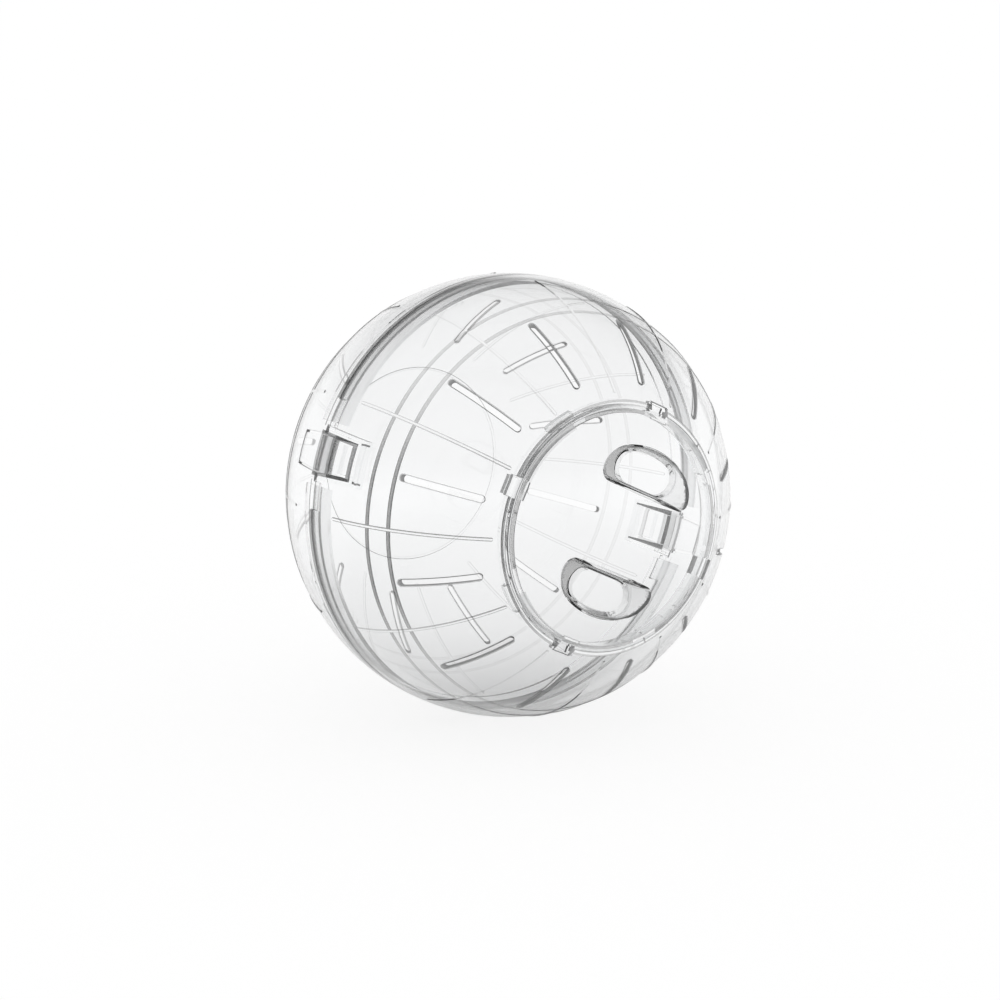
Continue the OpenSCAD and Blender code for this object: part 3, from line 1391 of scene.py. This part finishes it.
    def stop(self) -> Solid:
        """Makes a stop that ends the door's turn.

        Returns:
            The stop.
        """
        d, steps = self.door, self.round_steps
        end = -d.lug_turn - d.lug_angle / 2 - d.lock_turn - math.degrees(d.notch_gap / d.skirt_r)
        turns = [math.radians(end - d.stop_turn + d.stop_turn * i / steps) for i in range(steps + 1)]
        outline = [(d.collar_r * math.cos(a), d.collar_r * math.sin(a)) for a in turns]
        outline += [(d.collar_in * math.cos(a), d.collar_in * math.sin(a)) for a in reversed(turns)]
        return prism(outline, d.lug_z, d.collar_z + self.ball.weld)

    def notch(self) -> Solid:
        """Makes a notch that lets a lug of the door in.

        Returns:
            The cutter.
        """
        d, b = self.door, self.ball
        start, end = d.skirt_r - b.over, d.skirt_r + d.lug_reach + d.notch_gap
        return block(start, end, d.lug_w / 2 + d.notch_gap, d.lug_z - b.over, b.reach)

    def lip(self) -> Solid:
        """Makes the locating lip inside the seam, open where the latches lie.

        Returns:
            The lip.
        """
        s, b = self.latch, self.ball
        inner, root = s.lip_r - s.lip_t, s.tab_l + b.over
        section = Section()
        # The lip and its root take a painted grey: shade along the lip inside the seam.
        for radius, start, end, zone, after in (
            (b.in_r + b.weld, root, s.lip_gap, Zone.WALL, Zone.LIP_ROOT),
            (s.lip_r, s.lip_gap, -s.lip_root, Zone.LIP_ROOT, Zone.LIP),
            (s.lip_r, -s.lip_root - b.weld, -s.lip_l, Zone.LIP, Zone.RECESS),
            (inner, -s.lip_l, -s.lip_root - b.weld, Zone.LIP, Zone.LIP),
            (inner, -s.lip_root, s.lip_gap - b.weld, Zone.LIP_ROOT, Zone.WALL),
            (inner, s.lip_gap, root, Zone.WALL, Zone.WALL),
        ):
            ends = (math.degrees(math.acos(z / radius)) for z in (start, end))
            section.add(polar_arc(radius, *ends), zone, after)
        opening = block(-b.reach, b.reach, s.tab_start + s.lip_t, -b.reach, b.reach)
        return self.mould("lip", lathe(section), [
            Feature("Latch openings", opening, Joining.CUT),
            Feature("Tab notches", self.tab_notches(), Joining.CUT),
        ])

    def build(self, name: str) -> Solid:
        """Builds the whole half shell.

        Args:
            name: Name of the moulding.

        Returns:
            The half shell.
        """
        b, d, s = self.ball, self.door, self.latch
        # Slot and opening edges, recess sides, recess beads and rib sides take painted shade zones.
        edges, clear = Paint(Zone.EDGE), Paint(Zone.RECESS, Zone.RECESS)
        walls = Paint(Zone.RECESS_SIDE, Zone.RECESS, ends=Zone.RECESS)
        beads = Paint(Zone.RECESS_SIDE, Zone.RECESS_SIDE)
        recess_walls = self.recess(0.0, s.head_gap + s.recess_t, (b.ball_r - MERGE, s.recess_in))
        recess_space = self.recess(-b.over, s.head_gap, (b.reach, s.floor))
        features = [
            Feature("Ribs", self.rib(), Joining.ADD, b.vents, b.pitch / 2, Paint(Zone.RIB, limit=0.9)),
            Feature("Recess walls", recess_walls, Joining.ADD, paint=walls),
            Feature("Recess beads", self.recess_beads(), Joining.ADD, paint=beads),
            Feature("Locating tabs", self.tabs(), Joining.ADD),
            Feature("Vent edges", self.vent_edge(), Joining.CUT, b.vents),
            Feature("Vent slots", self.vent(0.0, b.vent_slope), Joining.CUT, b.vents, paint=edges),
            Feature("Recess", recess_space, Joining.CUT, paint=clear),
            Feature("Tab notches", self.tab_notches(), Joining.CUT),
            Feature("Strap opening", self.strap_space(), Joining.CUT, paint=edges),
        ]
        catch = Feature("Catch", self.catch(), Joining.ADD, paint=clear)
        if self.with_door:
            # The lug notches take a painted shade grey, where the lug shows through.
            notch, notch_shade = self.notch(), Paint(Zone.NOTCH)
            features.insert(0, Feature("Stops", self.stop(), Joining.ADD, d.lugs))
            features.append(Feature("Lug notches", notch, Joining.CUT, d.lugs, -d.lug_turn, notch_shade))
            features.append(catch)
        else:
            features += [catch, Feature("Lip", self.lip(), Joining.ADD)]
        return self.mould(name, self.base(), features)


@dataclass(frozen=True)
class Door(Moulding):
    """The domed turn-lock door with its skirt, lugs and finger pockets."""

    corner_steps: int = 14
    arc_steps: int = 40

    def base(self) -> Solid:
        """Turns the dome with its skirt.

        Returns:
            The plain door.
        """
        d, out, under = self.door, self.ball.ball_r, self.ball.in_r
        inner, edge = d.skirt_in, Zone.EDGE
        section = Section()
        section.add(polar_arc(out, 0.0, polar_at(out, inner))[:-1])
        section.add(polar_arc(out, polar_at(out, inner), polar_at(out, d.door_r)), after=edge)
        # Bands of edge zone round the door's rim and skirt are painted dark lines.
        section.add([(d.door_r, on_sphere(out, d.door_r) - d.edge_line)])
        section.add(polar_arc(under, polar_at(under, d.door_r), polar_at(under, d.skirt_r)), after=edge)
        section.add([(d.skirt_r, on_sphere(under, d.skirt_r) - d.edge_line)])
        section.add([(d.skirt_r, d.lug_z), (inner, d.lug_z)])
        section.add([(inner, on_sphere(under, inner) - d.edge_line)], after=edge)
        return self.shaded(lathe(section.add(polar_arc(under, polar_at(under, inner), 0.0))))

    def shaded(self, solid: Solid) -> Solid:
        """Gives the turned door painted shade: greyer stretches of its rim beside the lugs, where the
        skirt shows through.

        Args:
            solid: The turned door.

        Returns:
            The same solid.
        """
        d, b, pitch = self.door, self.ball, 360 / self.door.lugs
        for i, face in enumerate(solid.faces):
            x, y, z = solid.middle(face)
            away, high = math.hypot(x, y), z > on_sphere(b.ball_r - b.weld, d.door_r)
            from_lug = (math.degrees(math.atan2(y, x)) + d.lug_turn + pitch / 2) % pitch - pitch / 2
            if not d.skirt_in < away < d.door_r or not d.shade_from < abs(from_lug) < d.shade_to:
                continue
            if high and from_lug < 0:
                solid.zones[i] = Zone.PANEL.value
            elif z < d.lug_z + b.weld and from_lug > 0:
                solid.zones[i] = Zone.POCKET_WALL.value
        return solid

    def ring(self, z: float, margin: float) -> list[Point]:
        """Draws the outline of a finger pocket at a height.

        Args:
            z: The height.
            margin: How far the outline is grown.

        Returns:
            Its points.
        """
        d = self.door
        slope = d.pocket_lean / (d.rim_z - d.floor_z)
        arc = d.pocket_r + slope * (z - d.rim_z) + margin * math.hypot(1, slope)
        chord = d.grip_half + d.chord_lean * (d.rim_z - z) / (d.rim_z - d.floor_z) - margin
        corner = min(d.pocket_corner + margin, (arc - chord) * d.corner_share)
        cy = chord + corner
        cx = math.sqrt(max(0.0, (arc - corner) ** 2 - cy**2))
        meet = math.atan2(cy, cx)
        points = []
        for x, y, radius, start, end, steps in (
            (cx, cy, corner, -math.pi / 2, meet, self.corner_steps),
            (0.0, 0.0, arc, meet, math.pi - meet, self.arc_steps),
            (-cx, cy, corner, math.pi - meet, 1.5 * math.pi, self.corner_steps),
        ):
            turns = [start + (end - start) * i / steps for i in range(steps + 1)]
            points += [(x + radius * math.cos(a), y + radius * math.sin(a), z) for a in turns]
        return points

    def pocket(self, low: float, margin: float) -> Solid:
        """Makes the space of a finger pocket from a height up.

        Args:
            low: Height of its lower face.
            margin: How far it is grown.

        Returns:
            The solid, with the zones of the pocket's walls where it isn't grown.
        """
        d, b = self.door, self.ball
        top = b.ball_r + b.over
        steps = math.ceil((top - low) / d.pocket_line)
        solid = loft([self.ring(low + (top - low) * i / steps, margin) for i in range(steps + 1)])
        solid.zones = []
        for face in solid.faces:
            # The pocket's cut through the dome takes a painted dark line, and its walls under the dome
            # a painted grey.
            in_wall = math.hypot(*solid.middle(face)) > b.in_r + b.weld
            side = Zone.POCKET_LINE if in_wall else Zone.POCKET_WALL
            solid.zones.append((Zone.WALL if len(face) > 4 or margin > 0 else side).value)
        return solid

    def pad(self) -> Solid:
        """Makes the thickening under the dome at a lug, on the side of +X.

        Returns:
            The pad.
        """
        d, b = self.door, self.ball
        start, end = d.skirt_in - d.pad_l, d.skirt_r - d.skirt_t / 2
        under = on_sphere(b.in_r, start)
        return block(start, end, d.lug_w / 2, under - d.pad_t, under + b.weld)

    def lug(self) -> Solid:
        """Returns a lug on the side of +X."""
        d, start = self.door, self.door.skirt_r - self.ball.weld
        return block(start, d.skirt_r + d.lug_reach, d.lug_w / 2, d.lug_z, d.lug_top)

    def build(self, name: str) -> Solid:
        """Builds the whole door.

        Args:
            name: Name of the moulding.

        Returns:
            The door.
        """
        d, b = self.door, self.ball
        dome_r, turn, edges = b.ball_r - b.weld, -d.lug_turn, Paint(Zone.EDGE)
        dome = lathe(Section().add(polar_arc(dome_r, 0.0, d.dome_polar)).add([(0.0, dome_r / 2)]))
        walls = self.pocket(d.floor_z - b.wall, b.wall)
        walls = self.mould("pocket_block", walls, [Feature("Dome", dome, Joining.KEEP)])
        return self.mould(name, self.base(), [
            Feature("Pocket walls", walls, Joining.ADD, d.pockets, turn),
            # Lugs and pads take the edge zone on their sides: painted dark grey.
            Feature("Lug pads", self.pad(), Joining.ADD, d.lugs, turn, edges),
            Feature("Lugs", self.lug(), Joining.ADD, d.lugs, turn, edges),
            Feature("Pockets", self.pocket(d.floor_z, 0.0), Joining.CUT, d.pockets, turn),
        ])


@dataclass(frozen=True)
class SnapTongue(Moulding):
    """A snap tongue, its strap behind the seam and its windowed head past it."""

    def build(self, name: str) -> Solid:
        """Builds the whole tongue.

        Args:
            name: Name of the moulding.

        Returns:
            The tongue.
        """
        s, b = self.latch, self.ball
        through, bars = (b.reach, b.in_r), 2 * s.window_bar
        # The frame's and window's cut faces take painted shade, dark outside and lighter inside; the
        # panel is a painted grey strip.
        dark = Paint(Zone.FRAME, Zone.FRAME, inside=Zone.FRAME_INSIDE)
        share = s.window_start / s.head_l
        start_w = s.head_w + (s.head_tip_w - s.head_w) * share - bars
        strap = shell_patch((-s.strap_l, b.over), (s.strap_root_w, s.strap_w), (b.ball_r, b.in_r))
        panel = shell_patch(
            (s.root_gap + s.panel_step, s.window_start), (s.head_w - s.window_bar, start_w),
            (s.head_out - s.panel_step, s.head_in + s.panel_step),
        )
        radii = (s.head_out, s.head_out - s.frame_t)
        frame = shell_patch((s.root_gap, s.head_l), (s.head_w, s.head_tip_w), radii)
        opening = shell_patch(
            (-b.over, s.window_start - s.window_bar), (s.head_w - bars, start_w + s.head_gap), through
        )
        widths = (start_w, s.head_tip_w - bars + s.head_gap)
        window = shell_patch((s.window_start, s.window_end), widths, through)
        head = self.mould(f"{name}_frame", frame, [
            Feature("Panel opening", opening, Joining.CUT, paint=dark),
            Feature("Window", window, Joining.CUT, paint=dark),
        ], dark)
        return self.mould(name, strap, [
            Feature("Panel", panel, Joining.ADD, paint=Paint(Zone.PANEL, Zone.PANEL)),
            Feature("Head", head, Joining.ADD),
        ], Paint(Zone.EDGE))


@dataclass(frozen=True)
class Ball:
    """The whole ball: its mouldings, their finishes and the bodies that they ride on."""

    ball: BallSizes = BallSizes()
    door: DoorSizes = DoorSizes()
    latch: LatchSizes = LatchSizes()

    # Except for the wall and the recess, these greys are painted shade: dark lines on edges, hoops,
    # ribs, vents and frames, and grey pocket walls, panels, lips, recess sides and notches, where clear
    # plastic shows dark; the pale greys are painted highlights on the beads.
    FINISHES = {
        Zone.WALL: ClearFinish("clear_wall", 0.985, 0.985),
        Zone.EDGE: ClearFinish("clear_edge", 0.40, 0.40, 0.8, clear=0.0, faint=0.70),
        Zone.HOOP: ClearFinish("clear_hoop", 0.13, 0.86, 0.05, pale=0.58),
        Zone.HOOP_RIM: ClearFinish("clear_hoop_rim", 0.04, 0.80, 0.05, pale=0.52),
        Zone.FRAME: ClearFinish("clear_frame", 0.17, 0.88, 0.20, ior=1.2, faint=0.50),
        Zone.FRAME_INSIDE: ClearFinish("clear_frame_inside", 0.80, 0.96, 0.20, ior=1.2),
        Zone.RECESS_SIDE: ClearFinish("clear_recess_side", 0.96, 0.96, 0.10, ior=1.05, faint=0.05),
        Zone.LIP: ClearFinish("clear_lip", 0.92, 0.92, 0.60, ior=1.09),
        Zone.LIP_ROOT: ClearFinish("clear_lip_root", 0.92, 0.92, 0.60, ior=1.27),
        Zone.POCKET_LINE: ClearFinish("clear_pocket_line", 0.66, 0.55, 1.80),
        Zone.NOTCH: ClearFinish("painted_shade_notch", 0.66, 0.66, 0.80, clear=0.0),
        Zone.POCKET_WALL: ClearFinish("clear_pocket_wall", 0.80, 0.34, 0.20, ior=1.12),
        Zone.PANEL: ClearFinish("clear_panel", 0.74, 0.74, 0.60, ior=1.3),
        Zone.RECESS: ClearFinish("clear_recess", 0.96, 0.96, 0.05, ior=1.05),
        Zone.RIB: ClearFinish("clear_rib_side", 0.14, 0.70, 0.05, pale=0.84),
        Zone.VENT: ClearFinish("clear_vent_edge", 0.42, 0.85, 0.05),
    }
    SHELL_WALL = ClearFinish("clear_shell_wall", 0.985, 0.985, seam=True)

    def placing(self, turned_over: bool) -> Matrix:
        """Works out the turn from a moulding's own frame to the part's frame.

        Args:
            turned_over: True for the half that lies the other way round.

        Returns:
            The turn.
        """
        placed = Matrix.Rotation(math.radians(90), 4, "X") @ turn_z(180 - self.ball.latch_turn)
        return placed @ Matrix.Rotation(math.pi, 4, "Y") if turned_over else placed

    def surfacer(self) -> Surfacer:
        """Returns what gives every moulding its normals and zones."""
        b, s = self.ball, self.latch
        return Surfacer((
            b.ball_r, b.ball_r - b.vent_step, b.ball_r + b.rib_h, b.in_r, b.in_r + b.weld,
            b.in_r - b.weld, b.in_r - s.lip_gap / 2, s.lip_r, s.lip_r - s.lip_t, s.head_out,
            s.head_out - s.frame_t, s.head_out - s.panel_step, s.head_in + s.panel_step, s.head_in,
            s.floor, s.recess_in,
        ), b.ball_r)

    def build(self) -> None:
        """Builds every piece and hands it to its body."""
        plastic, surfacer = ClearPlastic(), self.surfacer()
        clear = {zone: plastic.material(finish) for zone, finish in self.FINISHES.items()}
        seamed = {**clear, Zone.WALL: plastic.material(self.SHELL_WALL)}
        made_from = (self.ball, self.door, self.latch, clear[Zone.WALL])
        tongue = SnapTongue(*made_from).build("tongue")
        door_half = HalfShell(*made_from, True).build("door_half")
        plain_half = HalfShell(*made_from, False).build("plain_half")
        door = Door(*made_from).build("door")
        for name, solid, turned_over, node, body, slot in (
            ("door_half_shell", door_half, False, "door_half", "shell", "clear_shell"),
            ("plain_half_shell", plain_half, True, "plain_half", "shell", "clear_shell"),
            ("door_cap", door, False, "door", "door", "clear_door"),
            ("tongue_left", tongue, False, "latch_tongue_left", "left_latch", "clear_latch"),
            ("tongue_right", tongue, True, "latch_tongue_right", "right_latch", "clear_latch"),
        ):
            finishes = seamed if body == "shell" else clear
            obj = surfacer.dress(name, solid, self.placing(turned_over), finishes)
            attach(obj, body)
            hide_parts(node)
            LOG.info("%s rides on %s in place of %s", name, body, node)


# Camera and studio


@dataclass(frozen=True)
class PhotoCamera:
    """The camera, at the photograph's angle, distance and framing."""

    azimuth: float = -31.71
    elevation: float = 11.94
    distance: float = 0.994855
    aside: float = -0.003352
    above: float = -0.002076
    lens: float = 88.044
    sensor: float = 36.0
    nearest: float = 0.01
    farthest: float = 200.0

    def build(self) -> None:
        """Makes the camera and gives it to the scene."""
        a, e = math.radians(self.azimuth), math.radians(self.elevation)
        back = Vector((math.sin(a) * math.cos(e), -math.cos(a) * math.cos(e), math.sin(e)))
        right = Vector((math.cos(a), math.sin(a), 0.0))
        up = back.cross(right)
        data = bpy.data.cameras.new("camera")
        data.lens, data.sensor_width = self.lens, self.sensor
        data.clip_start, data.clip_end = self.nearest, self.farthest
        camera = show("camera", data)
        place = right * self.aside + up * self.above + back * self.distance
        turn = Matrix((right, up, back)).transposed().to_4x4()
        camera.matrix_world = Matrix.Translation(place) @ turn
        bpy.context.scene.camera = camera


@dataclass(frozen=True)
class Studio:
    """The plain pale floor and the white surroundings."""

    floor_z: float = -0.0901
    floor_half: float = 400.0
    white: float = 0.96
    glow: float = 0.86
    through: float = 0.5
    near: float = 0.90
    far: float = 1.0
    near_at: float = 0.0
    far_at: float = 0.35
    away: Point = (0.526, 0.851, 0.0)
    sky: float = 0.45
    sky_from: float = 0.10
    sky_to: float = 0.45
    level: float = 1.05

    def floor(self) -> None:
        """Makes the floor: white to the camera and, where the plastic shows it, painted shade that is
        darker on the camera's side and paler further back.
        """
        h = self.floor_half
        mesh = bpy.data.meshes.new("floor")
        corners = [(x, y, self.floor_z) for x, y in ((-h, -h), (h, -h), (h, h), (-h, h))]
        mesh.from_pydata(corners, [], [(0, 1, 2, 3)])
        floor = show("floor", mesh)
        made = bpy.data.materials.new("floor_paper")
        made.use_nodes = True
        mesh.materials.append(made)
        n = Nodes(made.node_tree)
        seen = n.add("ShaderNodeLightPath").outputs["Is Camera Ray"]
        # Painted shade: the paper is darker on the camera's side and paler further back, where it shows
        # through the plastic.
        shade = n.add("ShaderNodeMapRange", {
            "Value": n.vector("DOT_PRODUCT", n.place(), self.away)["Value"],
            "From Min": self.near_at, "From Max": self.far_at, "To Min": self.near, "To Max": self.far,
        }).outputs["Result"]
        paper = n.tree.nodes["Principled BSDF"]
        n.feed(paper.inputs["Base Color"], n.mix(seen, shade, grey(self.white)))
        n.feed(paper.inputs["Roughness"], 1.0)
        n.feed(paper.inputs["Specular IOR Level"], 0.0)
        lit = {"Color": n.mix(seen, shade, grey(1.0)), "Strength": 1.0}
        glow = n.add("ShaderNodeEmission", lit).outputs[0]
        share = n.math("MULTIPLY_ADD", seen, self.glow - self.through, self.through)
        both = n.add("ShaderNodeMixShader", {0: share, 1: paper.outputs[0], 2: glow})
        n.feed(n.tree.nodes["Material Output"].inputs["Surface"], both.outputs[0])

    def world(self) -> None:
        """Makes the surroundings: white to the camera and as light, duller high up in the plastic."""
        world = bpy.data.worlds.new("studio")
        bpy.context.scene.world = world
        world.use_nodes = True
        n = Nodes(world.node_tree)
        path = n.add("ShaderNodeLightPath").outputs
        around = n.add("ShaderNodeTexCoord").outputs["Generated"]
        height = n.add("ShaderNodeSeparateXYZ", {0: around}).outputs["Z"]
        limits = {"From Min": self.sky_from, "From Max": self.sky_to, "To Min": 1.0, "To Max": self.sky}
        kind, smooth = "ShaderNodeMapRange", "SMOOTHSTEP"
        sky = n.add(kind, {"Value": height, **limits}, interpolation_type=smooth).outputs["Result"]
        mirrored = n.math("MAXIMUM", path["Is Glossy Ray"], path["Is Transmission Ray"])
        direct = n.math("LESS_THAN", path["Diffuse Depth"], 0.5)
        back = n.tree.nodes["Background"].inputs
        n.feed(back["Color"], n.mix(n.math("MULTIPLY", mirrored, direct), grey(self.level), sky))
        n.feed(back["Strength"], 1.0)

    def build(self) -> None:
        """Builds the floor, the surroundings and the view settings."""
        self.floor()
        self.world()
        bpy.context.scene.view_settings.view_transform = "Standard"


def main() -> None:
    """Loads the frame, makes the camera, the ball and the studio."""
    logging.basicConfig(level=logging.INFO, format="%(message)s")
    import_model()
    PhotoCamera().build()
    Ball().build()
    Studio().build()


if __name__ == "__main__":
    main()
